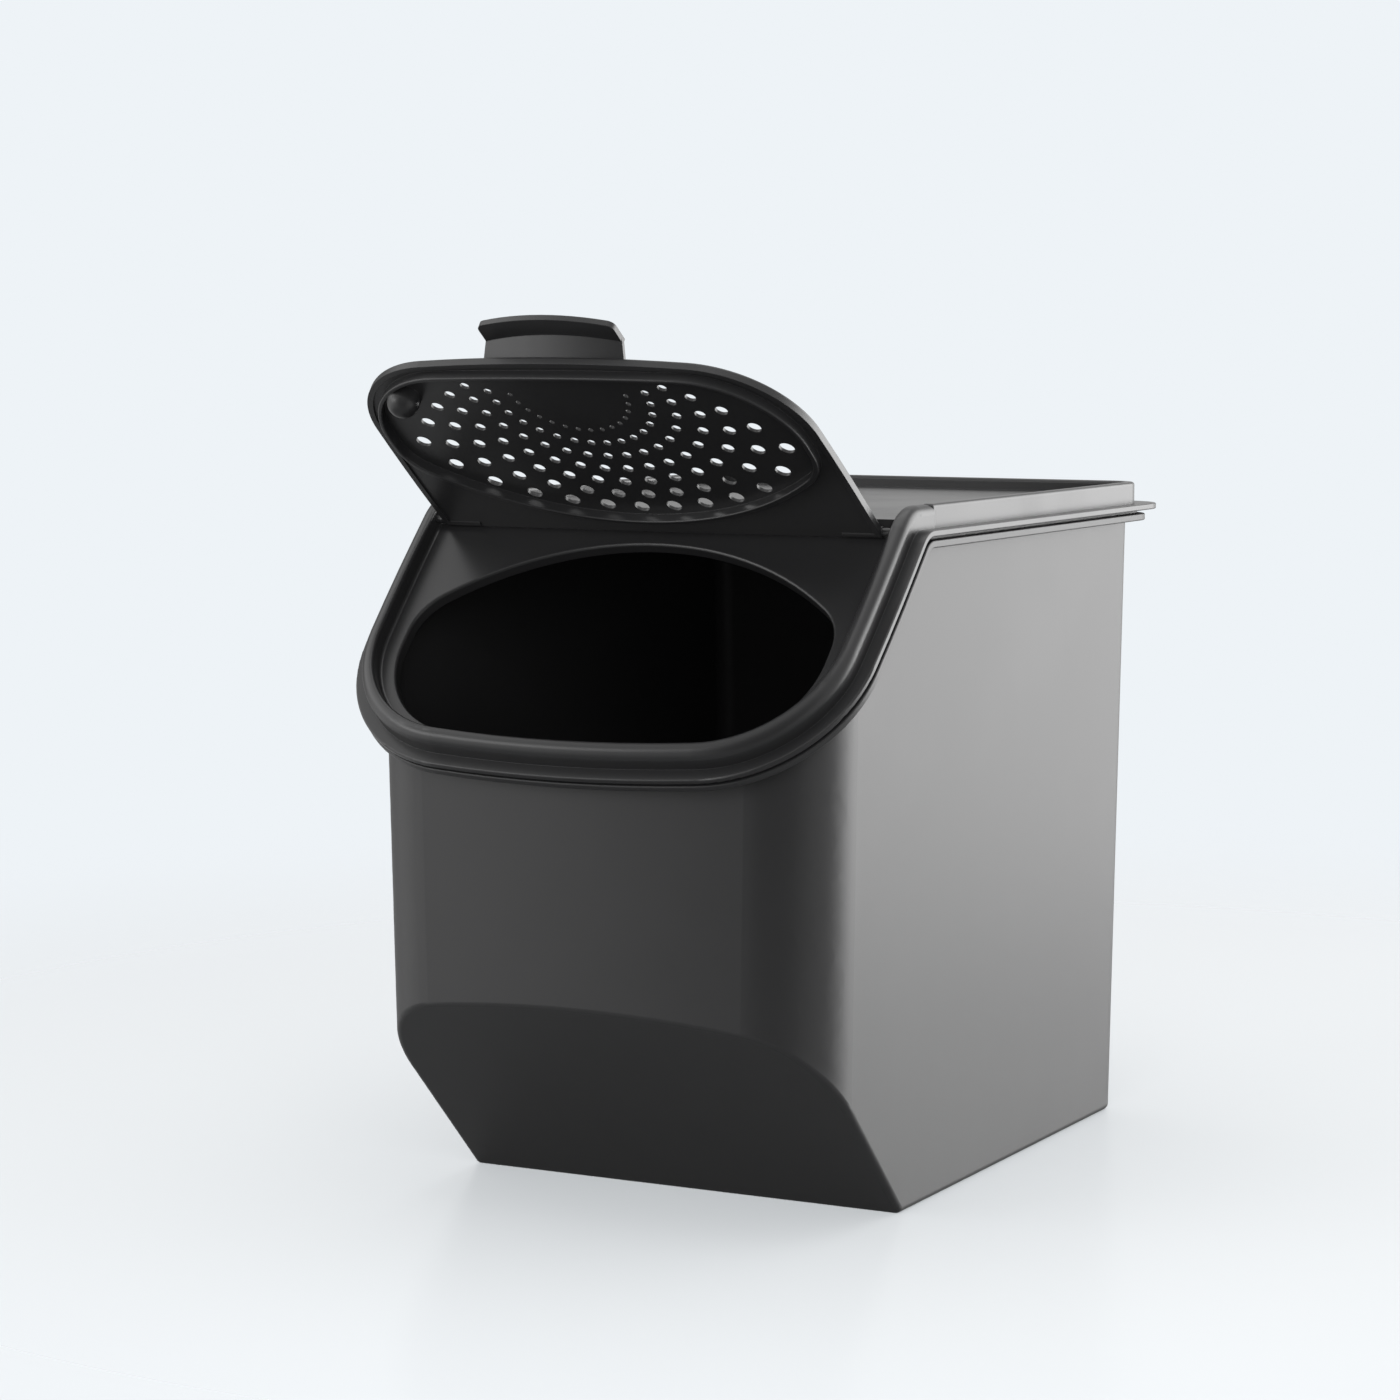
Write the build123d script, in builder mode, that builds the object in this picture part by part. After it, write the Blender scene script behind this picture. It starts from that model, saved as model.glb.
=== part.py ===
from build123d import *
import os
from math import cos, radians, sin, sqrt, tan

# Potato storage bin: an open container, a push-fit cover with a sloping front, and a vented flap
# that swings on the cover. X runs across, -Y is the front, +Z is up. The origin is the centre of
# the flat underside. Lengths are in millimetres, angles in degrees.

# ---- container ----
OVERALL_HEIGHT = 240.0       # floor to the top of the cover's border
BASE_LENGTH = 196.0          # flat underside, front edge to back wall
BASE_HALF_WIDTH = 83.8       # half of the width at the floor
WALL = 2.2                   # wall and floor thickness of the container
SIDE_DRAFT = 1.1             # the side walls lean out
FRONT_DRAFT = 0.6            # the front wall leans out
NOSE_REACH = 74.0            # the front wall, run down to the floor, ahead of the underside
KICK_ANGLE = 45.0            # slope of the cut-back under the nose
FRONT_CROWN = 8.0            # how far the front wall bows forward across its width
FRONT_CORNER = 30.0          # plan radius of the front corners
BACK_CORNER = 8.0            # plan radius of the back corners
FOOT_FILLET = 2.4            # rounding of the underside and the cut-back
FLOOR_FILLET = 2.0           # the same edges inside

# ---- rim line, seen from the side: flat at the back, then a knee, then a slope to the front ----
BORDER_RISE = 14.0           # rim underside to the top of the cover's border
KNEE_AHEAD = 7.3             # the knee stands this far ahead of the underside's front edge
SLOPE = 45.8                 # fall of the sloping part
KNEE_RADIUS = 6.0            # rounding of the rim's underside at the knee
LIP_REACH = 98.2             # knee to the front of the lip, down the slope
LIP_STRAIGHT = 14.0          # the lip's sides run straight this far down the slope
LIP_NARROWING = 3.0          # then curve in by this, to the front
LIP_CORNER = 43.0            # corner radius of the lip, in the slope
RIM_CROWN = 7.0              # bow of the rim's front edge

# ---- container rim ----
RIM_THICK = 2.5              # outward flange
RIM_OVERHANG = 8.9           # flange past the lip, at the sides and front
RIM_BACK_OVERHANG = 4.5      # flange past the lip, at the back
RIM_ROOT = 5.0               # flange inward of the lip's outer face, to reach the front wall
LIP_TOP = 6.2                # height of the lip over the flange's underside
LIP_WALL = 1.8
LAND_OUT = 4.4               # outer edge of the raised land that the cover sits on
LAND_WIDTH = 2.4
SEAT_GAP = 0.3               # running gap between the cover and what it sits on

# ---- cover ----
COVER_WALL = 1.8
COVER_BOTTOM = 3.7           # underside of the cover's flange over the rim's underside
COVER_FLANGE = 2.2           # thickness of that flange
COVER_BACK_OVERHANG = 16.0   # its lift-off edge at the back
BORDER_OUT = 3.3             # outer face of the border past the lip, at the back and over the flat part
BEAD_OUT = 4.4               # the same down the slope, where the border is a wide bead
BEAD_BEHIND = 13.0           # the bead starts this far behind the knee
BORDER_WIDTH = 4.1
BORDER_WALL = 1.3            # walls of the hollow border
BORDER_ROUND = 1.2           # rounding of the border's top edges
BEAD_FLAT = 0.3              # flat left on top of the bead, inside its wide outer round
PLUG_OUT = -2.6              # outer face of the short wall inside the lip
PLUG_BOTTOM = 2.6
TOP_PANEL = 9.6              # top face of the flat panel over the rim's underside
FRONT_PANEL = 8.0            # top face of the sloping panel
PANEL_THICK = 2.2
STEP_AHEAD = 13.2            # step between the two panels, ahead of the underside's front edge
HOOK_WIDTH = 130.0           # hook behind the rim at the back
HOOK_DEPTH = 4.5
HOOK_GAP = 1.6

# ---- opening in the sloping panel ----
OPENING_SIDE_MARGIN = 8.54    # lip to the opening, at the sides
OPENING_START = 6.5          # hinge axis to the upper edge
OPENING_FRONT_MARGIN = 4.6   # lip to the opening, at the front
OPENING_SIDE = 49.7          # sides of the opening, between their corner points
OPENING_LOWER_CROWN = 3.0
OPENING_UPPER_CORNER = 20.0
OPENING_LOWER_CORNER = 37.0
COLLAR_DEPTH = 4.0           # turned-down edge of the opening, panel included
OPENING_ROUND = 1.0          # rounding of its upper edge

# ---- flap ----
OPEN_ANGLE = 37.1            # the open flap's rise over the horizontal
AXIS_DOWN = 2.4              # knee to the hinge axis, down the slope
AXIS_RISE = 10.4             # hinge axis over the rim's underside
FLAP_SIDE_GAP = 3.74          # between the flap's sides and the border
FLAP_FRONT_GAP = 0.6         # between the flap's front edge and the border
FLAP_CORNER = 37.0
FLAP_CROWN = 6.4
FLAP_OUTER = 1.0             # outer face over the hinge axis
FLAP_HEEL = 1.6              # the plate runs past the hinge axis by this
FLAP_THICK = 2.4
VENT_RECESS = 1.3            # the vented panel lies this far under the flap's outer face
FLAP_EDGE_THICK = 3.0        # the turned-in edge, face included
FLAP_EDGE_WIDTH = 2.0
FLAP_ROUND = 0.8             # rounding of the flap's outer edge
SMALL_ROUND = 0.5            # rounding of rims, the skirt's crest and other thin edges
SKIRT_GAP = 1.0              # between the skirt and the opening
SKIRT_WALL = 1.6
SKIRT_DEPTH = 5.8            # outer face to the skirt's crest
BARREL_RADIUS = 1.9
BARREL_LENGTH = 14.2
PIN_RADIUS = 1.45
PIN_CLEARANCE = 0.05         # radial, in the cover's bores

# ---- vent holes: arcs round a point near the flap's front edge ----
VENT_SETBACK = 15.4          # the flap's front edge to that point
VENT_FIRST_RADIUS = 21.6
VENT_RING_STEP = 7.32
VENT_BULGE = 0.0245          # each ring bulges by this much more than the last, for its radius
VENT_BULGE_TURN = 58.0       # and most of all at this many degrees from the centre line
VENT_PITCH = 11.95           # degrees between holes in the first ring
VENT_PITCH_FALL = 0.15       # and less by this in each next ring
VENT_DIAMETERS = (1.8, 2.8, 3.3, 3.8, 4.4, 4.9, 5.4)
VENT_COUNTS = (8, 8, 9, 8, 8, 7, 7)     # to each side, with the one on the centre line

# ---- round-ended knob under the flap ----
KNOB_INSET = 22.2            # the flap's side to the knob's middle
KNOB_SETBACK = 18.4          # the flap's front edge to the knob's middle
KNOB_RADIUS = 5.4
KNOB_STRAIGHT = 3.0          # the knob's straight part, under the vented panel
KNOB_ROUND_SHORT = 0.2       # the end's rounding stops this short of the knob's middle

# ---- grip tab at the flap's front ----
TAB_HALF_WIDTH = 25.0
TAB_CROWN = 3.6
TAB_WALL = 2.0
TAB_FLARE = 1.2              # each side of the wall stands out by this at its foot
TAB_SETBACK = 1.8            # the flap's front edge to the wall's outer face, at its foot
TAB_LEAN = 5.9               # the wall leans out by this
TAB_HEIGHT = 8.0             # outer face of the flap to the tab's top
TAB_LIP_DEPTH = 7.2          # the lip past the wall
TAB_LIP_THICK = 2.0
TAB_LIP_CORNER = 3.0

# ---- worked out from the values above ----
slope = radians(SLOPE)
RIM_Z = OVERALL_HEIGHT - BORDER_RISE
FRONT_EDGE_Y = -BASE_LENGTH / 2
WALL_BACK_Y = BASE_LENGTH / 2
KNEE_Y = FRONT_EDGE_Y - KNEE_AHEAD
STEP_Y = FRONT_EDGE_Y - STEP_AHEAD
LIP_HALF_WIDTH = BASE_HALF_WIDTH + RIM_Z * tan(radians(SIDE_DRAFT))
BORDER_IN = BORDER_OUT - BORDER_WIDTH
BEAD_ROUND = BEAD_OUT - BORDER_IN - BORDER_ROUND - BEAD_FLAT
OPENING_HALF_WIDTH = LIP_HALF_WIDTH - OPENING_SIDE_MARGIN
OPENING_END = LIP_REACH - AXIS_DOWN - OPENING_FRONT_MARGIN
OPENING_UPPER_CROWN = OPENING_END - OPENING_START - OPENING_LOWER_CROWN - OPENING_SIDE
FLAP_HALF_WIDTH = LIP_HALF_WIDTH + BORDER_IN - FLAP_SIDE_GAP
FLAP_REACH = LIP_REACH + BORDER_IN - FLAP_FRONT_GAP - AXIS_DOWN
TAB_FOOT = FLAP_REACH - TAB_SETBACK
TAB_TIP = TAB_FOOT + TAB_LEAN
TOOL_DEPTH = 30.0            # half height of the cutting and trimming solids along the rim
TOOL_LAP = 7.0               # their overlap round the knee
TOOL_REACH = 150.0           # their length down the slope
SLANT = Plane(origin=(0, KNEE_Y, RIM_Z), x_dir=(1, 0, 0), z_dir=(0, -sin(slope), cos(slope)))


def slant_point(down, rise):
    """Y and Z of a point that lies down the slope from the knee and over the rim's underside."""
    y = KNEE_Y - down * cos(slope) - rise * sin(slope)
    z = RIM_Z - down * sin(slope) + rise * cos(slope)
    return y, z


def slant_z(y, rise):
    """Height of the sloping plane with this rise at a given Y."""
    return RIM_Z + (rise + (y - KNEE_Y) * sin(slope)) / cos(slope)


def rounded_outline(half_width, reach, crown, corner, back, back_corner=0.0, straight=0.0,
                    narrowing=0.0):
    """Flat outline: sides, a bowed front edge at -reach, and a straight back edge.

    With a narrowing, the sides curve in by that much from -straight to the front edge."""
    with BuildSketch() as outline:
        with BuildLine():
            tip = half_width - narrowing
            bow = ThreePointArc((-tip, crown - reach), (0, -reach), (tip, crown - reach))
            if narrowing > 0:
                TangentArc((half_width, -straight), bow @ 1, tangent=(0, -1))
                TangentArc((-half_width, -straight), bow @ 0, tangent=(0, -1))
                Polyline((half_width, -straight), (half_width, back), (-half_width, back),
                         (-half_width, -straight))
            else:
                Polyline(bow @ 1, (half_width, back), (-half_width, back), bow @ 0)
        make_face()
        fillet(outline.vertices().filter_by_position(Axis.Y, crown - reach - 0.01,
                                                     crown - reach + 0.01), radius=corner)
        if back_corner > 0:
            fillet(outline.vertices().group_by(Axis.Y)[-1], radius=back_corner)
    return outline.sketch


def lip_outline(out):
    """Outer face of the lip in the slope, knee at Y = 0, moved out by a distance.

    The bow and the sides keep their centres, so that all such outlines run parallel."""
    tip = LIP_HALF_WIDTH - LIP_NARROWING
    run = LIP_REACH - RIM_CROWN - LIP_STRAIGHT
    bow_radius = (tip ** 2 + RIM_CROWN ** 2) / (2 * RIM_CROWN)
    side_radius = (run ** 2 + LIP_NARROWING ** 2) / (2 * LIP_NARROWING)
    x = tip + out
    for _ in range(20):
        y = bow_radius - LIP_REACH - sqrt((bow_radius + out) ** 2 - x ** 2)
        x = LIP_HALF_WIDTH - side_radius + sqrt((side_radius + out) ** 2 - (y + LIP_STRAIGHT) ** 2)
    return rounded_outline(LIP_HALF_WIDTH + out, LIP_REACH + out, LIP_REACH + out + y,
                           LIP_CORNER + out, TOOL_LAP, straight=LIP_STRAIGHT,
                           narrowing=LIP_HALF_WIDTH + out - x)


def rim_line(rise):
    """Corner points of the rim's underside seen from the side, moved out by a rise."""
    knee = (KNEE_Y - rise * tan(slope / 2), RIM_Z + rise)
    back = (WALL_BACK_Y + 2 * TOOL_DEPTH, RIM_Z + rise)
    front = (knee[0] - TOOL_REACH * cos(slope), knee[1] - TOOL_REACH * sin(slope))
    return back, knee, front


def envelope(out, back_out=None):
    """All that lies within the lip's outer face moved out by a distance, over the whole rim."""
    if back_out is None:
        back_out = out
    half_width = LIP_HALF_WIDTH + out
    with BuildPart() as solid:
        with BuildSketch(SLANT.offset(-TOOL_DEPTH)):
            add(lip_outline(out))
        extrude(amount=2 * TOOL_DEPTH)
        with BuildSketch(Plane.XY.offset(RIM_Z - TOOL_DEPTH)) as flat_part:
            with BuildLine():
                front_y = KNEE_Y - TOOL_LAP
                back_y = WALL_BACK_Y + back_out
                Polyline((-half_width, front_y), (half_width, front_y), (half_width, back_y),
                         (-half_width, back_y), close=True)
            make_face()
            fillet(flat_part.vertices().group_by(Axis.Y)[-1], radius=BACK_CORNER + out)
        extrude(amount=2 * TOOL_DEPTH)
    return solid.part


def rim_band(low, high):
    """Slab that follows the rim line between two rises, over the full width."""
    with BuildPart() as band:
        with BuildSketch(Plane.YZ):
            with BuildLine():
                upper = FilletPolyline(*rim_line(high), radius=KNEE_RADIUS + high)
                lower = FilletPolyline(*rim_line(low), radius=KNEE_RADIUS + low)
                Line(upper @ 0, lower @ 0)
                Line(upper @ 1, lower @ 1)
            make_face()
        extrude(amount=LIP_HALF_WIDTH + TOOL_DEPTH, both=True)
    return band.part


def runs_at(*rises):
    """Test for an edge: True where it runs along the rim at one of these rises."""
    def test(edge):
        ends = [max(end.Z - RIM_Z, (end.Z - RIM_Z) * cos(slope) - (end.Y - KNEE_Y) * sin(slope))
                for end in (edge @ 0, edge @ 1)]
        return any(all(abs(end - rise) < 0.01 for end in ends) for rise in rises)
    return test


def rim_ring(low, high, outer, inner, outer_back=None, edge_radius=0.0):
    """Hoop between two rises and two distances from the lip's outer face."""
    with BuildPart() as ring:
        add(rim_band(low, high))
        add(envelope(outer, outer_back), mode=Mode.INTERSECT)
        if edge_radius > 0:
            fillet(ring.edges().filter_by(runs_at(low, high)), radius=edge_radius)
        add(envelope(inner), mode=Mode.SUBTRACT)
    return ring.part


def container_form(inset, edge_radius):
    """The container's closed outer form, moved in by an inset. It runs up through the rim."""
    kick_y = FRONT_EDGE_Y + inset * tan(radians(KICK_ANGLE / 2))
    with BuildPart() as form:
        for z in (inset, OVERALL_HEIGHT):
            with BuildSketch(Plane.XY.offset(z)):
                add(rounded_outline(
                    BASE_HALF_WIDTH + z * tan(radians(SIDE_DRAFT)) - inset,
                    NOSE_REACH - FRONT_EDGE_Y + z * tan(radians(FRONT_DRAFT)) - inset,
                    FRONT_CROWN, FRONT_CORNER - inset, WALL_BACK_Y - inset, BACK_CORNER - inset))
        loft(ruled=True)
        with BuildSketch(Plane.YZ):
            with BuildLine():
                top_z = OVERALL_HEIGHT + 1
                far_y = kick_y - TOOL_REACH
                Polyline((kick_y, inset), (far_y, inset + TOOL_REACH * tan(radians(KICK_ANGLE))),
                         (far_y, top_z), (WALL_BACK_Y + 1, top_z), (WALL_BACK_Y + 1, inset), close=True)
            make_face()
        extrude(amount=LIP_HALF_WIDTH + TOOL_DEPTH, both=True, mode=Mode.INTERSECT)
        kick_face = form.faces().filter_by(GeomType.PLANE).sort_by(
            lambda face: face.normal_at().dot(Vector(0, -1, -1)))[-1]
        floor_face = form.faces().sort_by(Axis.Z)[0]
        fillet(kick_face.edges() + floor_face.edges(), radius=edge_radius)
    return form.part


def side_region(rise):
    """All that lies under the rim line raised by a rise, over the full width."""
    with BuildPart() as region:
        with BuildSketch(Plane.YZ):
            with BuildLine():
                upper = FilletPolyline(*rim_line(rise), radius=KNEE_RADIUS + rise)
                Polyline(upper @ 1, ((upper @ 1).X, 0), ((upper @ 0).X, 0), upper @ 0)
            make_face()
        extrude(amount=LIP_HALF_WIDTH + TOOL_DEPTH, both=True)
    return region.part


# The container: drafted walls, a cut-back nose, a flange, a land and a lip round the top.
with BuildPart() as container:
    add(container_form(0.0, FOOT_FILLET))
    add(side_region(RIM_THICK), mode=Mode.INTERSECT)
    add(rim_ring(0, RIM_THICK, RIM_OVERHANG, -RIM_ROOT, RIM_BACK_OVERHANG, SMALL_ROUND))
    add(container_form(WALL, FLOOR_FILLET), mode=Mode.SUBTRACT)
    add(rim_ring(RIM_THICK, COVER_BOTTOM - SEAT_GAP, LAND_OUT, LAND_OUT - LAND_WIDTH))
    add(rim_ring(RIM_THICK, LIP_TOP, 0, -LIP_WALL))
container.part.label = "container"


def stepped_line(flat_rise, slant_rise, step_y):
    """Side view of a panel's face: flat from the back to a step, a drop there, then down the slope."""
    return [(WALL_BACK_Y + TOOL_DEPTH, RIM_Z + flat_rise), (step_y, RIM_Z + flat_rise),
            (step_y, slant_z(step_y, slant_rise)), slant_point(TOOL_REACH, slant_rise)]


def stepped_region(line, limit_z, out):
    """All between a stepped line and a level, within the lip's outer face moved out."""
    with BuildPart() as region:
        with BuildSketch(Plane.YZ):
            with BuildLine():
                Polyline(*line, (line[-1][0], limit_z), (line[0][0], limit_z), close=True)
            make_face()
        extrude(amount=LIP_HALF_WIDTH + TOOL_DEPTH, both=True)
        add(envelope(out), mode=Mode.INTERSECT)
    return region.part


def oval(inset=0.0):
    """Outline of the opening moved in by an inset, in the slope's plane, hinge axis at Y = 0."""
    half_width = OPENING_HALF_WIDTH - inset
    upper = -OPENING_START - inset
    lower = inset - OPENING_END
    shoulder = upper - OPENING_UPPER_CROWN
    hip = lower + OPENING_LOWER_CROWN
    with BuildSketch() as outline:
        with BuildLine():
            over = ThreePointArc((-half_width, shoulder), (0, upper), (half_width, shoulder))
            under = ThreePointArc((half_width, hip), (0, lower), (-half_width, hip))
            Line(over @ 1, under @ 0)
            Line(under @ 1, over @ 0)
        make_face()
        fillet(outline.vertices().group_by(Axis.Y)[0], radius=OPENING_LOWER_CORNER - inset)
        fillet(outline.vertices().filter_by(lambda corner: abs(corner.Y - shoulder) < 0.01),
               radius=OPENING_UPPER_CORNER - inset)
    return outline.sketch


axis_y, axis_z = slant_point(AXIS_DOWN, AXIS_RISE)
CLOSED = Plane(origin=(0, axis_y, axis_z), x_dir=(1, 0, 0), z_dir=SLANT.z_dir)
panel_under = FRONT_PANEL - PANEL_THICK
groove_out = BORDER_OUT - BORDER_WALL
plug_in = PLUG_OUT - COVER_WALL
hook_y = WALL_BACK_Y + RIM_BACK_OVERHANG + HOOK_GAP
flange_z = RIM_Z + COVER_BOTTOM

def lies_at(edge, rise):
    """True for an edge that lies in the slope at this rise."""
    ends = [(end.Z - RIM_Z) * cos(slope) - (end.Y - KNEE_Y) * sin(slope) for end in (edge @ 0, edge @ 1)]
    return all(abs(end - rise) < 0.01 for end in ends)


def border_form(keep, out, outer_round):
    """The border and all within it, ahead of the bead's start or behind it, with rounded top edges."""
    within = envelope(BORDER_OUT - BORDER_WIDTH / 2).solid()
    with BuildPart() as form:
        add(rim_band(COVER_BOTTOM, BORDER_RISE))
        add(envelope(out), mode=Mode.INTERSECT)
        add(stepped_region(stepped_line(TOP_PANEL, FRONT_PANEL, STEP_Y), OVERALL_HEIGHT + TOOL_DEPTH,
                           BORDER_IN), mode=Mode.SUBTRACT)
        split(bisect_by=Plane.XZ.offset(-KNEE_Y - BEAD_BEHIND), keep=keep)
        top_edges = form.edges().filter_by(runs_at(BORDER_RISE))
        fillet([edge for edge in top_edges if within.is_inside(edge @ 0.5)], radius=BORDER_ROUND)
        top_edges = form.edges().filter_by(runs_at(BORDER_RISE))
        fillet([edge for edge in top_edges if not within.is_inside(edge @ 0.5)], radius=outer_round)
    return form.part


# The cover: a hollow border over the lip, a stepped panel inside it, and a flange outside it.
with BuildPart() as cover:
    add(border_form(Keep.BOTTOM, BORDER_OUT, BORDER_ROUND))
    add(border_form(Keep.TOP, BEAD_OUT, BEAD_ROUND))
    add(stepped_region(stepped_line(TOP_PANEL - PANEL_THICK, panel_under, STEP_Y + PANEL_THICK), 0,
                       plug_in), mode=Mode.SUBTRACT)
    with BuildSketch(CLOSED.offset(FRONT_PANEL - AXIS_RISE - COLLAR_DEPTH)):
        add(oval(-COVER_WALL))
    extrude(amount=COLLAR_DEPTH)
    add(rim_ring(0, LIP_TOP + SEAT_GAP, groove_out, PLUG_OUT), mode=Mode.SUBTRACT)
    add(rim_ring(0, BORDER_RISE - COVER_WALL, groove_out, BORDER_IN + BORDER_WALL),
        mode=Mode.SUBTRACT)
    add(rim_ring(PLUG_BOTTOM, FRONT_PANEL, PLUG_OUT, plug_in))
    add(rim_ring(COVER_BOTTOM, COVER_BOTTOM + COVER_FLANGE, RIM_OVERHANG, groove_out,
                 COVER_BACK_OVERHANG, SMALL_ROUND))
    with BuildSketch(Plane.XY.offset(flange_z - HOOK_DEPTH)):
        with Locations((0, hook_y + COVER_WALL / 2)):
            Rectangle(HOOK_WIDTH, COVER_WALL)
    extrude(amount=HOOK_DEPTH + COVER_FLANGE / 2)
    with BuildSketch(CLOSED.offset(-TOOL_DEPTH)):
        add(oval())
    extrude(amount=2 * TOOL_DEPTH, mode=Mode.SUBTRACT)
    opening_wall = cover.faces(Select.LAST)
    fillet([edge for face in opening_wall for edge in face.edges() if lies_at(edge, FRONT_PANEL)],
           radius=OPENING_ROUND)
    with BuildSketch(Plane.YZ):
        with Locations((axis_y, axis_z)):
            Circle(PIN_RADIUS + PIN_CLEARANCE)
    extrude(amount=LIP_HALF_WIDTH + groove_out, both=True, mode=Mode.SUBTRACT)
cover.part.label = "cover"


def bow_band(half_width, reach, crown, depth, corner=0.0):
    """Strip behind a bowed front edge at -reach, as deep as given."""
    with BuildSketch() as band:
        with BuildLine():
            near = ThreePointArc((-half_width, crown - reach), (0, -reach), (half_width, crown - reach))
            far = ThreePointArc((half_width, crown - reach + depth), (0, depth - reach),
                                (-half_width, crown - reach + depth))
            Line(near @ 1, far @ 0)
            Line(far @ 1, near @ 0)
        make_face()
        if corner > 0:
            fillet(band.vertices().group_by(Axis.Y)[0], radius=corner)
    return band.sketch


def vent_places(ring):
    """Centres of one ring's holes in the flap's plane, hinge axis at Y = 0."""
    pitch = radians(VENT_PITCH - ring * VENT_PITCH_FALL)
    stagger = 0.5 * (ring % 2)
    places = []
    for index in range(VENT_COUNTS[ring]):
        turn = (index + stagger) * pitch
        bulge = ring * VENT_BULGE * sin(turn * 90 / VENT_BULGE_TURN) ** 3
        radius = (VENT_FIRST_RADIUS + ring * VENT_RING_STEP) * (1 + bulge)
        x = radius * sin(turn)
        y = radius * cos(turn) + VENT_SETBACK - FLAP_REACH
        places += [(x, y)] if turn == 0 else [(x, y), (-x, y)]
    return places


rise = radians(OPEN_ANGLE)
OPEN = Plane(origin=(0, axis_y, axis_z), x_dir=(1, 0, 0), z_dir=(0, sin(rise), cos(rise)))
flap_straight = LIP_STRAIGHT - AXIS_DOWN
flap_inner = FLAP_OUTER - FLAP_THICK
tab_top = FLAP_OUTER + TAB_HEIGHT

# The flap, swung open: a plate with a turned-in edge, a skirt that plugs the opening, vent holes,
# hinge barrels with stub pins, and a grip tab.
with BuildPart() as flap:
    with BuildSketch(OPEN.offset(flap_inner)):
        add(rounded_outline(FLAP_HALF_WIDTH, FLAP_REACH, FLAP_CROWN, FLAP_CORNER, FLAP_HEEL,
                            straight=flap_straight, narrowing=LIP_NARROWING))
    extrude(amount=FLAP_THICK)
    with BuildSketch(OPEN.offset(FLAP_OUTER - FLAP_EDGE_THICK)):
        add(rounded_outline(FLAP_HALF_WIDTH, FLAP_REACH, FLAP_CROWN, FLAP_CORNER, 0,
                            straight=flap_straight, narrowing=LIP_NARROWING))
        add(rounded_outline(FLAP_HALF_WIDTH - FLAP_EDGE_WIDTH, FLAP_REACH - FLAP_EDGE_WIDTH, FLAP_CROWN,
                            FLAP_CORNER - FLAP_EDGE_WIDTH, 1, straight=flap_straight,
                            narrowing=LIP_NARROWING), mode=Mode.SUBTRACT)
    extrude(amount=FLAP_EDGE_THICK - FLAP_THICK)
    fillet(flap.faces().sort_by(Axis(OPEN.origin, OPEN.z_dir))[-1].edges(), radius=FLAP_ROUND)
    with BuildSketch(OPEN.offset(FLAP_OUTER - SKIRT_DEPTH)):
        add(oval(SKIRT_GAP))
        add(oval(SKIRT_GAP + SKIRT_WALL), mode=Mode.SUBTRACT)
    extrude(amount=SKIRT_DEPTH - FLAP_THICK)
    fillet(flap.faces().sort_by(Axis(OPEN.origin, OPEN.z_dir))[0].edges(), radius=SMALL_ROUND)
    with BuildSketch(OPEN.offset(FLAP_OUTER - VENT_RECESS)):
        add(oval(SKIRT_GAP + SKIRT_WALL))
    extrude(amount=VENT_RECESS, mode=Mode.SUBTRACT)
    for ring, diameter in enumerate(VENT_DIAMETERS):
        with BuildSketch(OPEN.offset(flap_inner)):
            with Locations(*vent_places(ring)):
                Circle(diameter / 2)
        extrude(amount=FLAP_THICK, mode=Mode.SUBTRACT)
    with BuildSketch(OPEN.offset((FLAP_OUTER - VENT_RECESS + flap_inner) / 2)):
        with Locations((KNOB_INSET - FLAP_HALF_WIDTH, KNOB_SETBACK - FLAP_REACH)):
            Circle(KNOB_RADIUS)
    extrude(amount=-(FLAP_THICK - VENT_RECESS) / 2 - KNOB_STRAIGHT - KNOB_RADIUS)
    knob_end = flap.faces().sort_by(Axis(OPEN.origin, OPEN.z_dir))[0]
    fillet(knob_end.edges(), radius=KNOB_RADIUS - KNOB_ROUND_SHORT)
    for side in (-1, 1):
        with BuildSketch(Plane.YZ.offset(side * (FLAP_HALF_WIDTH - BARREL_LENGTH))):
            with Locations((axis_y, axis_z)):
                Circle(BARREL_RADIUS)
        extrude(amount=side * BARREL_LENGTH)
        with BuildSketch(Plane.YZ.offset(side * FLAP_HALF_WIDTH)):
            with Locations((axis_y, axis_z)):
                Circle(PIN_RADIUS)
        extrude(amount=side * (LIP_HALF_WIDTH + BORDER_IN + BORDER_WALL - FLAP_HALF_WIDTH))
    with BuildSketch(OPEN.offset(FLAP_OUTER - FLAP_THICK / 2)):
        add(bow_band(TAB_HALF_WIDTH + TAB_FLARE, TAB_FOOT, TAB_CROWN, TAB_WALL))
    with BuildSketch(OPEN.offset(tab_top - TAB_LIP_THICK / 2)):
        add(bow_band(TAB_HALF_WIDTH, TAB_TIP, TAB_CROWN, TAB_WALL))
    loft(ruled=True)
    with BuildSketch(OPEN.offset(tab_top - TAB_LIP_THICK)):
        add(bow_band(TAB_HALF_WIDTH, TAB_TIP + TAB_LIP_DEPTH, TAB_CROWN, TAB_LIP_DEPTH + TAB_WALL,
                     TAB_LIP_CORNER))
    extrude(amount=TAB_LIP_THICK)
flap.part.label = "flap"

os.makedirs("parts", exist_ok=True)
export_step(container.part, "parts/container.step")
export_step(cover.part, "parts/cover.step")
export_step(flap.part, "parts/flap.step")
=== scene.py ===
from math import radians
from typing import NamedTuple

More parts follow.
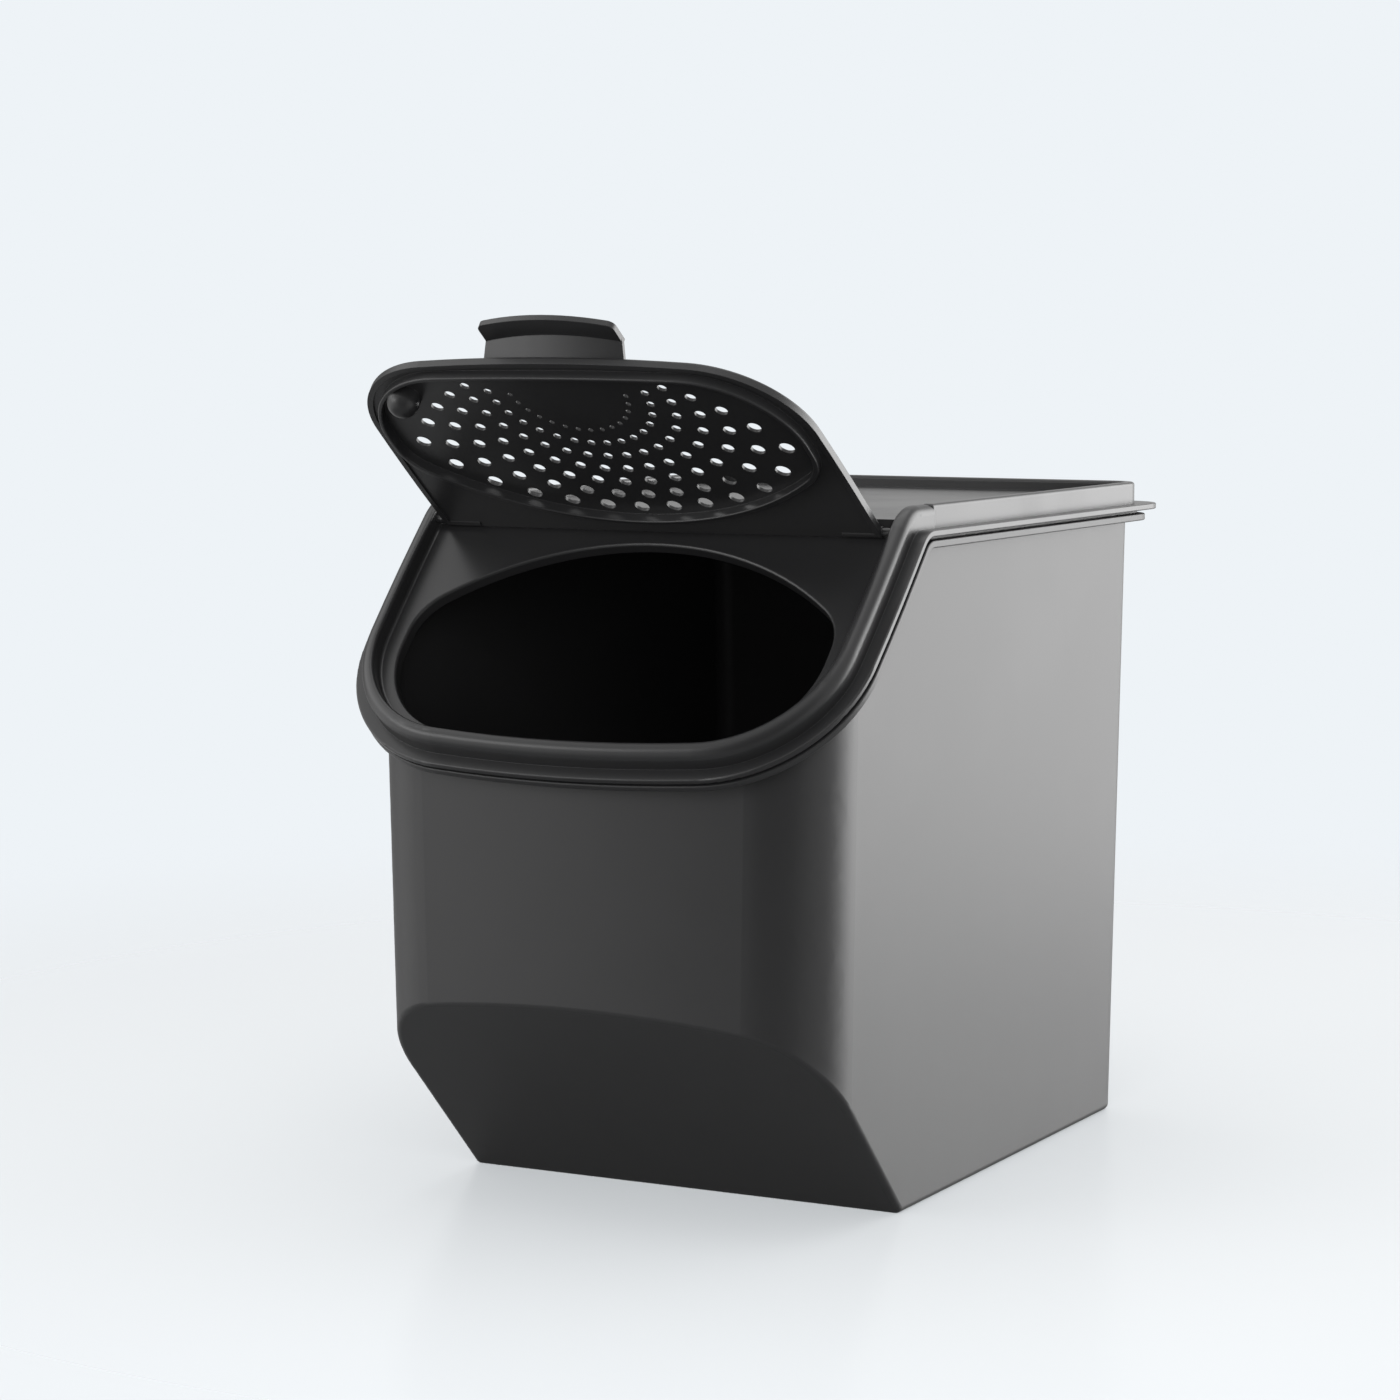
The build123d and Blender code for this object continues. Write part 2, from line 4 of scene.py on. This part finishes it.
import bpy
import numpy as np
from bpy.props import FloatProperty, FloatVectorProperty, PointerProperty
from bpy.types import NodeSocket, Operator, Panel, PropertyGroup
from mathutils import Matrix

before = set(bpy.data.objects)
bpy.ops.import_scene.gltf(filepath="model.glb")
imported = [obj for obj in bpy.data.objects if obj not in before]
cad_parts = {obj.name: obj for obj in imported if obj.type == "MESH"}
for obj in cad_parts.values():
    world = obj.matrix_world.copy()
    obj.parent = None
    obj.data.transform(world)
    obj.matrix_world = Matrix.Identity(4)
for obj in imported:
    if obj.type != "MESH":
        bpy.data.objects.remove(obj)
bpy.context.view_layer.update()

bl_info = {
    "name": "Potato storage bin",
    "version": (1, 0, 0),
    "blender": (4, 5, 0),
    "location": "3D View > Sidebar > Storage bin",
    "description": "Finishes a moulded potato bin with a vented flap and sets up its studio",
    "category": "Object",
}

MM = 0.001


# ---- settings ----

class ContainerSettings(PropertyGroup):
    """Charcoal plastic of the container"""
    colour: FloatVectorProperty(
        name="Colour", description="Plastic of the container", subtype="COLOR", size=3,
        default=(0.0145, 0.0145, 0.015), min=0, max=1)
    roughness: FloatProperty(
        name="Roughness", description="Roughness of the moulded grain", default=0.40, min=0, max=1,
        subtype="FACTOR")
    grain_size: FloatProperty(
        name="Grain size", description="Width of one grain of the moulded texture",
        default=0.45 * MM, min=0.05 * MM, unit="LENGTH", precision=5)
    grain_depth: FloatProperty(
        name="Grain depth", description="Height of the moulded texture",
        default=0.012 * MM, min=0, unit="LENGTH", precision=6)
    smear_length: FloatProperty(
        name="Smear length", description="Length of a wiped smear",
        default=90 * MM, min=1 * MM, unit="LENGTH")
    edge_radius: FloatProperty(
        name="Edge radius", description="Radius of the softened edges",
        default=0.35 * MM, min=0, unit="LENGTH", precision=5)


class CoverSettings(PropertyGroup):
    """Near-black plastic of the cover and the flap"""
    colour: FloatVectorProperty(
        name="Colour", description="Plastic of the cover and the flap", subtype="COLOR", size=3,
        default=(0.013, 0.013, 0.0135), min=0, max=1)
    roughness: FloatProperty(
        name="Roughness", description="Roughness of the polished mould", default=0.32, min=0, max=1,
        subtype="FACTOR")
    grain_size: FloatProperty(
        name="Grain size", description="Width of one grain of the moulded texture",
        default=0.25 * MM, min=0.05 * MM, unit="LENGTH", precision=5)
    grain_depth: FloatProperty(
        name="Grain depth", description="Height of the moulded texture",
        default=0.004 * MM, min=0, unit="LENGTH", precision=6)
    smear_length: FloatProperty(
        name="Smear length", description="Length of a wiped smear",
        default=45 * MM, min=1 * MM, unit="LENGTH")
    edge_radius: FloatProperty(
        name="Edge radius", description="Radius of the softened edges",
        default=0.3 * MM, min=0, unit="LENGTH", precision=5)
    ripple_size: FloatProperty(
        name="Ripple size", description="Width of the faint sink ripples in the gloss",
        default=14 * MM, min=1 * MM, unit="LENGTH")
    ripple_depth: FloatProperty(
        name="Ripple depth", description="Height of the faint sink ripples",
        default=0.02 * MM, min=0, unit="LENGTH", precision=6)


class StageSettings(PropertyGroup):
    """Table, backdrop, studio and camera"""
    backdrop: FloatVectorProperty(
        name="Backdrop", description="Colour behind the bin", subtype="COLOR", size=3,
        default=(0.855, 0.896, 0.930), min=0, max=1)
    table_colour: FloatVectorProperty(
        name="Table colour", description="Colour of the table", subtype="COLOR", size=3,
        default=(0.825, 0.838, 0.85), min=0, max=1)
    table_reach: FloatProperty(
        name="Table reach", description="Radius at which the table has faded out",
        default=0.85, min=0.3, unit="LENGTH")
    table_clear: FloatProperty(
        name="Table clearness", description="How much of the backdrop shows through the table",
        default=0.45, min=0, max=1, subtype="FACTOR")
    # Painted shade: reflections see the table darker than it is, standing in for the bin's shade on the
    # table near its base
    table_mirrored: FloatProperty(
        name="Mirrored table", description="The table's brightness in reflections, of its own",
        default=0.5, min=0, max=1, subtype="FACTOR")
    table_back: FloatProperty(
        name="Table back", description="The table's middle lies this far behind the bin's",
        default=0.12, unit="LENGTH")
    fill: FloatProperty(
        name="Fill", description="Strength of the even fill light", default=1.0, min=0)
    under_table: FloatProperty(
        name="Under the table", description="Share of the light that comes from straight below",
        default=0.12, min=0, max=1, subtype="FACTOR")
    open_front: FloatProperty(
        name="Open front", description="Brightness of the dark side of the studio in reflections",
        default=0.08, min=0)
    side_glow: FloatProperty(
        name="Side glow", description="Brightness of the box that the side wall mirrors",
        default=6.2, min=0)
    left_glow: FloatProperty(
        name="Left glow", description="Extra brightness of the left wall in reflections",
        default=0.7, min=0)
    upper_left_glow: FloatProperty(
        name="Upper left glow", description="Brightness added high at the left in reflections",
        default=1.4, min=0)
    back_left_dark: FloatProperty(
        name="Back left", description="How much darker the studio is towards the back left",
        default=0.65, min=0, max=0.9)
    lens: FloatProperty(
        name="Lens", description="Focal length of the camera", default=96.706, min=10,
        unit="CAMERA")


# ---- nodes ----

# Sockets of a Mix node that mixes colours
MIX_FACTOR = 0
MIX_LOW = 6
MIX_HIGH = 7
MIX_RESULT = 2


def feed(tree, socket, source):
    """Links a socket to a node's output, or sets its value where the source is a constant."""
    if isinstance(source, NodeSocket):
        tree.links.new(source, socket)
    else:
        socket.default_value = source


def node(tree, kind, x, y, options=None, **sources):
    """New node at a place, with its options, and with its sockets fed by name."""
    made = tree.nodes.new(kind)
    made.location = (x, y)
    for label, value in (options or {}).items():
        setattr(made, label, value)
    for label, source in sources.items():
        feed(tree, made.inputs[label.replace("_", " ")], source)
    return made


def maths(tree, operation, x, y, *terms, kind="ShaderNodeMath"):
    """Value that an operation makes of its terms, each a constant or a node's output."""
    made = node(tree, kind, x, y, {"operation": operation})
    for socket, term in zip(made.inputs, terms):
        feed(tree, socket, term)
    return made.outputs["Value"]


def ramp(tree, value, x, y, shape="LINEAR", **ends):
    """Value mapped from one range to another: From_Min, From_Max, To_Min and To_Max."""
    made = node(tree, "ShaderNodeMapRange", x, y, {"interpolation_type": shape}, Value=value, **ends)
    return made.outputs["Result"]


def colour_mix(tree, mask, low, high, x, y):
    """Colour that goes from low to high with a mask."""
    made = node(tree, "ShaderNodeMix", x, y, {"data_type": "RGBA"})
    for index, source in ((MIX_FACTOR, mask), (MIX_LOW, low), (MIX_HIGH, high)):
        feed(tree, made.inputs[index], source)
    return made.outputs[MIX_RESULT]


def shader_mix(tree, mask, low, high, x, y):
    """Shader that goes from low to high with a mask."""
    made = node(tree, "ShaderNodeMixShader", x, y)
    for socket, source in zip(made.inputs, (mask, low, high)):
        feed(tree, socket, source)
    return made.outputs["Shader"]


def shade(colour, factor=1.0):
    """The colour times a factor, as a constant for a colour socket."""
    return (*(min(1.0, channel * factor) for channel in colour), 1)


# ---- shared surface effects, as node groups ----

MOTTLES_PER_METRE = 55.0
PIT_SHARE = 0.6                     # height of the rounded grains against the fine noise
SMEAR_TURN = (0.35, 0.2, 0.5)       # the way that a cloth went, in radians
SMEAR_STRETCH = (7.0, 7.0, 1.0)
PATCHES_PER_METRE = 14.0
PATCH_EDGE = (0.42, 0.68)           # noise at which a wiped patch starts and is full
EDGE_LEAN = (0.98, 0.75)            # cosine at which a rubbed edge starts and is full


def effect_group(name, inputs, outputs):
    """Empty shader group with named float inputs {name: default} and outputs {name: socket type}."""
    group = bpy.data.node_groups.new(name, "ShaderNodeTree")
    for label, value in inputs.items():
        socket = group.interface.new_socket(label, in_out="INPUT", socket_type="NodeSocketFloat")
        socket.default_value = value
    for label, kind in outputs.items():
        group.interface.new_socket(label, in_out="OUTPUT", socket_type=kind)
    return group


def moulded_grain():
    """Spark-eroded mould texture: fine rounded grains as a height, a coarser unevenness as a mask."""
    group = effect_group("moulded_grain", {"Grain Size": 0.45 * MM},
                         {"Height": "NodeSocketFloat", "Mottle": "NodeSocketFloat"})
    enter = node(group, "NodeGroupInput", -900, 0)
    place = node(group, "ShaderNodeTexCoord", -900, 300).outputs["Object"]
    rate = maths(group, "DIVIDE", -700, 0, 1.0, enter.outputs["Grain Size"])
    fine = node(group, "ShaderNodeTexNoise", -450, 200,
                Vector=place, Scale=rate, Detail=2.0, Roughness=0.6)
    pits = node(group, "ShaderNodeTexVoronoi", -450, -100, {"feature": "SMOOTH_F1"},
                Vector=place, Scale=rate, Smoothness=0.6)
    coarse = node(group, "ShaderNodeTexNoise", -450, -400,
                  Vector=place, Scale=MOTTLES_PER_METRE, Detail=3.0, Roughness=0.55)
    height = maths(group, "MULTIPLY_ADD", 0, 100,
                   pits.outputs["Distance"], PIT_SHARE, fine.outputs["Fac"])
    node(group, "NodeGroupOutput", 500, 0, Height=height, Mottle=coarse.outputs["Fac"])
    return group


def handling_marks():
    """Faint wiped smears: a stretched noise within broad patches, as a mask from 0 to 1."""
    group = effect_group("handling_marks", {"Smear Length": 60 * MM}, {"Smears": "NodeSocketFloat"})
    enter = node(group, "NodeGroupInput", -900, 0)
    place = node(group, "ShaderNodeTexCoord", -900, 300).outputs["Object"]
    turned = node(group, "ShaderNodeMapping", -700, 300,
                  Vector=place, Rotation=SMEAR_TURN, Scale=SMEAR_STRETCH)
    rate = maths(group, "DIVIDE", -700, 0, 1.0, enter.outputs["Smear Length"])
    smear = node(group, "ShaderNodeTexNoise", -450, 200, Vector=turned.outputs["Vector"],
                 Scale=rate, Detail=4.0, Roughness=0.6, Distortion=0.4)
    patch = node(group, "ShaderNodeTexNoise", -450, -100,
                 Vector=place, Scale=PATCHES_PER_METRE, Detail=2.0)
    mask = ramp(group, patch.outputs["Fac"], -200, -100, "SMOOTHSTEP",
                From_Min=PATCH_EDGE[0], From_Max=PATCH_EDGE[1])
    smears = maths(group, "MULTIPLY", 100, 100, smear.outputs["Fac"], mask)
    node(group, "NodeGroupOutput", 500, 0, Smears=smears)
    return group


def rubbed_edges():
    """Edges rounded in the shading, and a mask of them: how far that normal leans off the face."""
    group = effect_group("rubbed_edges", {"Radius": 0.3 * MM},
                         {"Normal": "NodeSocketVector", "Edges": "NodeSocketFloat"})
    enter = node(group, "NodeGroupInput", -700, 0)
    soft = node(group, "ShaderNodeBevel", -400, 100, {"samples": 4},
                Radius=enter.outputs["Radius"]).outputs["Normal"]
    face = node(group, "ShaderNodeNewGeometry", -400, -150).outputs["Normal"]
    lean = maths(group, "DOT_PRODUCT", -150, 0, soft, face, kind="ShaderNodeVectorMath")
    edges = ramp(group, lean, 100, 0, From_Min=EDGE_LEAN[0], From_Max=EDGE_LEAN[1])
    node(group, "NodeGroupOutput", 500, 0, Normal=soft, Edges=edges)
    return group


def effect(tree, maker, x, y, **values):
    """Places a shared effect in a material. Its group is made the first time it is asked for."""
    group = bpy.data.node_groups.get(maker.__name__) or maker()
    return node(tree, "ShaderNodeGroup", x, y, {"node_tree": group}, **values)


# ---- materials ----

PLASTIC_IOR = 1.5


class Finish(NamedTuple):
    """How a plastic's tone, roughness and relief stray from its settings"""
    mottling: float         # share by which the tone strays either way
    rubbed: float           # brightness of a rubbed edge against the plain plastic
    off_smears: float       # added to the roughness away from the smears
    on_smears: float        # added to the roughness on the smears
    grain_strength: float


GRAINED = Finish(mottling=0.08, rubbed=1.5, off_smears=0.006, on_smears=-0.01, grain_strength=0.8)
POLISHED = Finish(mottling=0.10, rubbed=2.0, off_smears=0.0, on_smears=0.09, grain_strength=0.5)


def empty_material(name):
    """Material without nodes, and its tree."""
    material = bpy.data.materials.new(name)
    material.use_nodes = True
    material.node_tree.nodes.clear()
    return material, material.node_tree


def sink_ripples(tree, settings, normal):
    """Normal with the faint waves that a shrinking moulding leaves in its gloss."""
    place = node(tree, "ShaderNodeTexCoord", -600, -600).outputs["Object"]
    ripple = node(tree, "ShaderNodeTexNoise", -400, -600,
                  Vector=place, Scale=1 / settings.ripple_size, Detail=1.0)
    wave = node(tree, "ShaderNodeBump", 0, -500, Strength=1.0, Distance=settings.ripple_depth,
                Height=ripple.outputs["Fac"], Normal=normal)
    return wave.outputs["Normal"]


def moulded_plastic(name, settings, finish, rippled=False):
    """Plastic with a mottled tone, paler rubbed edges, smears in its gloss and a moulded grain."""
    material, tree = empty_material(name)
    grain = effect(tree, moulded_grain, -600, 0, Grain_Size=settings.grain_size)
    marks = effect(tree, handling_marks, -600, -300, Smear_Length=settings.smear_length)
    edges = effect(tree, rubbed_edges, -600, 300, Radius=settings.edge_radius)
    mottled = colour_mix(tree, grain.outputs["Mottle"], shade(settings.colour, 1 - finish.mottling),
                         shade(settings.colour, 1 + finish.mottling), -200, 200)
    tone = colour_mix(tree, edges.outputs["Edges"], mottled,
                      shade(settings.colour, finish.rubbed), 0, 200)
    roughness = ramp(tree, marks.outputs["Smears"], -200, -100,
                     To_Min=settings.roughness + finish.off_smears,
                     To_Max=settings.roughness + finish.on_smears)
    under = edges.outputs["Normal"]
    if rippled:
        under = sink_ripples(tree, settings, under)
    relief = node(tree, "ShaderNodeBump", 250, -200, Strength=finish.grain_strength,
                  Distance=settings.grain_depth, Height=grain.outputs["Height"], Normal=under)
    surface = node(tree, "ShaderNodeBsdfPrincipled", 600, 0, Base_Color=tone,
                   Roughness=roughness, IOR=PLASTIC_IOR, Normal=relief.outputs["Normal"])
    node(tree, "ShaderNodeOutputMaterial", 900, 0, Surface=surface.outputs["BSDF"])
    return material


def dress(name, material):
    """Gives a CAD node its finish."""
    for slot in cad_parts[name].material_slots:
        slot.material = material


# ---- studio ----

TABLE_RINGS = 24
TABLE_SECTORS = 96
TABLE_FADE = (0.3, 0.95)            # shares of the reach between which the table fades out
TABLE_ROUGHNESS = 0.22
TABLE_SPECULAR = 0.15

STUDIO_WHITE = (0.8, 0.8, 0.8, 1)
STUDIO_LEVEL = 1.0                  # in reflections, away from the zones
UNDER_TABLE = (-0.8, -0.3)          # Z of a direction: dim under the first, full over the second

CAMERA_PLACE = (0.603148, -1.233379, 0.302978)
CAMERA_DOWN = 5.873                 # degrees under level
CAMERA_TURN = 27.695                # degrees to the left of straight ahead
SENSOR_WIDTH = 36                   # mm
FAR_CLIP = 20                       # metres


class SoftBox(NamedTuple):
    """Rectangular lamp; mirrored says whether reflections show it"""
    name: str
    place: tuple
    aim: tuple
    size: tuple
    watts: float
    mirrored: bool


SOFT_BOXES = (
    SoftBox("overhead_box", place=(0.1, 0.1, 1.5), aim=(0, 0, 0), size=(1.2, 1.2),
            watts=6, mirrored=True),
    SoftBox("left_box", place=(-1.05, -1.25, 0.62), aim=(0, 0, 0.15), size=(1.0, 0.5),
            watts=4.5, mirrored=True),
    SoftBox("front_box", place=(0.55, -1.15, 0.50), aim=(0, -0.1, 0.15), size=(0.9, 0.9),
            watts=9, mirrored=False),
)


class Zone(NamedTuple):
    """Part of the studio in reflections, by the cosine of the angle to its aim"""
    aim: tuple
    starts: float
    full: float
    adds: float


def studio_zones(settings):
    """The dark open front right, the box at the back right, the left wall, the dim back left and
    the glow high at the left, in this order."""
    return (
        Zone(aim=(0.42, -0.91, 0.0), starts=0.62, full=0.93, adds=settings.open_front - STUDIO_LEVEL),
        Zone(aim=(0.62, 0.775, 0.12), starts=0.82, full=0.98, adds=settings.side_glow),
        Zone(aim=(-0.90, -0.42, 0.05), starts=0.70, full=0.98, adds=settings.left_glow),
        Zone(aim=(-0.85, 0.45, 0.25), starts=0.80, full=0.98, adds=-settings.back_left_dark),
        Zone(aim=(-0.80, -0.10, 0.60), starts=0.89, full=0.97, adds=settings.upper_left_glow),
    )


def put_in_scene(name, data):
    """Object with a mesh, a light or a camera, in the scene."""
    holder = bpy.data.objects.new(name, data)
    bpy.context.scene.collection.objects.link(holder)
    return holder


def ring_mesh(name, points):
    """Mesh over rings of points shaped (rings, sectors, 3), each joined to the next one out, face up
    where the points go round anticlockwise."""
    rings, sectors = points.shape[:2]
    index = np.arange(rings * sectors).reshape(rings, sectors)
    following = np.roll(index, -1, axis=1)
    quads = np.stack([index[:-1], index[1:], following[1:], following[:-1]], axis=-1)
    mesh = bpy.data.meshes.new(name)
    mesh.from_pydata(points.reshape(-1, 3), [], quads.reshape(-1, 4))
    mesh.polygons.foreach_set("use_smooth", np.ones(len(mesh.polygons), bool))
    mesh.update()
    return mesh


def table_material(settings):
    """Pale table that lets some backdrop through, fades out with distance, and is painted darker in
    reflections as painted shade.
    """
    material, tree = empty_material("pale_table")
    glossy = node(tree, "ShaderNodeLightPath", 0, 300).outputs["Is Glossy Ray"]
    # Painted shade: glossy rays see the table's colour darkened
    tone = colour_mix(tree, glossy, shade(settings.table_colour),
                      shade(settings.table_colour, settings.table_mirrored), 300, 200)
    surface = node(tree, "ShaderNodeBsdfPrincipled", 600, 0, Base_Color=tone,
                   Roughness=TABLE_ROUGHNESS, Specular_IOR_Level=TABLE_SPECULAR)
    clear = node(tree, "ShaderNodeBsdfTransparent", 600, 300)
    place = node(tree, "ShaderNodeTexCoord", -600, 300).outputs["Object"]
    centred = node(tree, "ShaderNodeMapping", -500, 300,
                   Vector=place, Location=(0, -settings.table_back, 0)).outputs["Vector"]
    distance = maths(tree, "LENGTH", -300, 300, centred, kind="ShaderNodeVectorMath")
    fade = ramp(tree, distance, -200, 300, "SMOOTHERSTEP",
                From_Min=TABLE_FADE[0] * settings.table_reach,
                From_Max=TABLE_FADE[1] * settings.table_reach, To_Min=settings.table_clear)
    faded = shader_mix(tree, fade, surface.outputs["BSDF"], clear.outputs["BSDF"], 800, 200)
    node(tree, "ShaderNodeOutputMaterial", 1000, 200, Surface=faded)
    return material


def studio_level(tree, direction, settings):
    """Brightness of the studio in a direction: its level and what each zone adds."""
    level = STUDIO_LEVEL
    for row, zone in enumerate(studio_zones(settings), start=1):
        y = -300 * row
        facing = maths(tree, "DOT_PRODUCT", -800, y, direction, zone.aim, kind="ShaderNodeVectorMath")
        added = ramp(tree, facing, -600, y, "SMOOTHSTEP",
                     From_Min=zone.starts, From_Max=zone.full, To_Min=0.0, To_Max=zone.adds)
        level = maths(tree, "ADD", -300, y, level, added)
    return level


# ---- one operator for each piece ----

class BIN_OT_container(Operator):
    """Gives the container its charcoal grained plastic"""
    bl_idname = "storage_bin.container"
    bl_label = "Finish the container"

    def execute(self, context):
        plastic = moulded_plastic("charcoal_grained_plastic", context.scene.bin_container, GRAINED)
        dress("container", plastic)
        return {"FINISHED"}


class BIN_OT_cover(Operator):
    """Gives the cover and the flap their near-black polished plastic"""
    bl_idname = "storage_bin.cover"
    bl_label = "Finish the cover and the flap"

    def execute(self, context):
        plastic = moulded_plastic("black_polished_plastic", context.scene.bin_cover, POLISHED,
                                  rippled=True)
        dress("cover", plastic)
        dress("flap", plastic)
        return {"FINISHED"}


class BIN_OT_stage(Operator):
    """Makes the table, the lamps, the backdrop and the camera"""
    bl_idname = "storage_bin.stage"
    bl_label = "Set up the studio"

    def execute(self, context):
        scene = context.scene
        settings = scene.bin_stage
        self.table(settings)
        self.backdrop(scene, settings)
        self.lamps()
        self.camera(scene, settings)
        scene.view_settings.view_transform = "Standard"
        return {"FINISHED"}

    def table(self, settings):
        """Disc in the plane Z = 0 with its middle behind the bin: radius u times the reach, angle v."""
        u = np.linspace(0, 1, TABLE_RINGS)[:, None]
        v = np.linspace(0, 2 * np.pi, TABLE_SECTORS, endpoint=False)[None, :]
        radius = u * settings.table_reach
        points = np.stack([radius * np.cos(v), radius * np.sin(v) + settings.table_back,
                           np.zeros_like(u * v)], axis=-1)
        table = put_in_scene("table", ring_mesh("table", points))
        table.data.materials.append(table_material(settings))

    def backdrop(self, scene, settings):
        """World: the backdrop's colour for the camera, an even fill, and a studio for reflections."""
        world = bpy.data.worlds.new("studio")
        scene.world = world
        world.use_nodes = True
        tree = world.node_tree
        tree.nodes.clear()
        path = node(tree, "ShaderNodeLightPath", -800, 500)
        direction = node(tree, "ShaderNodeTexCoord", -1000, -300).outputs["Generated"]
        height = node(tree, "ShaderNodeSeparateXYZ", -800, 700, Vector=direction).outputs["Z"]
        from_above = ramp(tree, height, -600, 600, "SMOOTHSTEP", From_Min=UNDER_TABLE[0],
                          From_Max=UNDER_TABLE[1], To_Min=settings.under_table, To_Max=1.0)
        lights = []
        for y, level in ((100, settings.fill), (-200, studio_level(tree, direction, settings))):
            strength = maths(tree, "MULTIPLY", -150, y, from_above, level)
            lights.append(node(tree, "ShaderNodeBackground", 0, y, Color=STUDIO_WHITE,
                               Strength=strength).outputs["Background"])
        shown = node(tree, "ShaderNodeBackground", 0, 300,
                     Color=shade(settings.backdrop), Strength=1.0).outputs["Background"]
        mirrored = maths(tree, "MAXIMUM", -400, 300,
                         path.outputs["Is Glossy Ray"], path.outputs["Is Transmission Ray"])
        lit = shader_mix(tree, mirrored, *lights, 300, 0)
        seen = shader_mix(tree, path.outputs["Is Camera Ray"], lit, shown, 500, 100)
        node(tree, "ShaderNodeOutputWorld", 700, 0, Surface=seen)

    def lamps(self):
        """Soft boxes, each turned from straight down to its aim."""
        for box in SOFT_BOXES:
            light = bpy.data.lights.new(box.name, "AREA")
            light.shape = "RECTANGLE"
            light.size, light.size_y = box.size
            light.energy = box.watts
            holder = put_in_scene(box.name, light)
            holder.visible_glossy = box.mirrored
            holder.location = box.place
            x, y, z = np.subtract(box.aim, box.place)
            holder.rotation_euler = (np.arctan2(np.hypot(x, y), -z), 0, np.arctan2(-x, y))

    def camera(self, scene, settings):
        """Long lens, level roll, from the front right and a little above."""
        lens = bpy.data.cameras.new("studio_camera")
        lens.lens = settings.lens
        lens.sensor_width = SENSOR_WIDTH
        lens.clip_end = FAR_CLIP
        holder = put_in_scene("studio_camera", lens)
        holder.location = CAMERA_PLACE
        holder.rotation_euler = (radians(90 - CAMERA_DOWN), 0, radians(CAMERA_TURN))
        scene.camera = holder


class BIN_PT_panel(Panel):
    """Lists the bin's pieces in the sidebar"""
    bl_idname = "BIN_PT_panel"
    bl_label = "Potato storage bin"
    bl_space_type = "VIEW_3D"
    bl_region_type = "UI"
    bl_category = "Storage bin"

    def draw(self, context):
        for operator in OPERATORS:
            self.layout.operator(operator.bl_idname)
        for group in ("bin_container", "bin_cover", "bin_stage"):
            settings = getattr(context.scene, group)
            box = self.layout.box()
            for name in settings.__annotations__:
                box.prop(settings, name)


OPERATORS = (BIN_OT_container, BIN_OT_cover, BIN_OT_stage)
CLASSES = (ContainerSettings, CoverSettings, StageSettings, *OPERATORS, BIN_PT_panel)


def register():
    for cls in CLASSES:
        bpy.utils.register_class(cls)
    bpy.types.Scene.bin_container = PointerProperty(type=ContainerSettings)
    bpy.types.Scene.bin_cover = PointerProperty(type=CoverSettings)
    bpy.types.Scene.bin_stage = PointerProperty(type=StageSettings)


def unregister():
    del bpy.types.Scene.bin_stage
    del bpy.types.Scene.bin_cover
    del bpy.types.Scene.bin_container
    for cls in reversed(CLASSES):
        bpy.utils.unregister_class(cls)


def main():
    """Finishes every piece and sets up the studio."""
    register()
    bpy.ops.storage_bin.container()
    bpy.ops.storage_bin.cover()
    bpy.ops.storage_bin.stage()


if __name__ == "__main__":
    main()
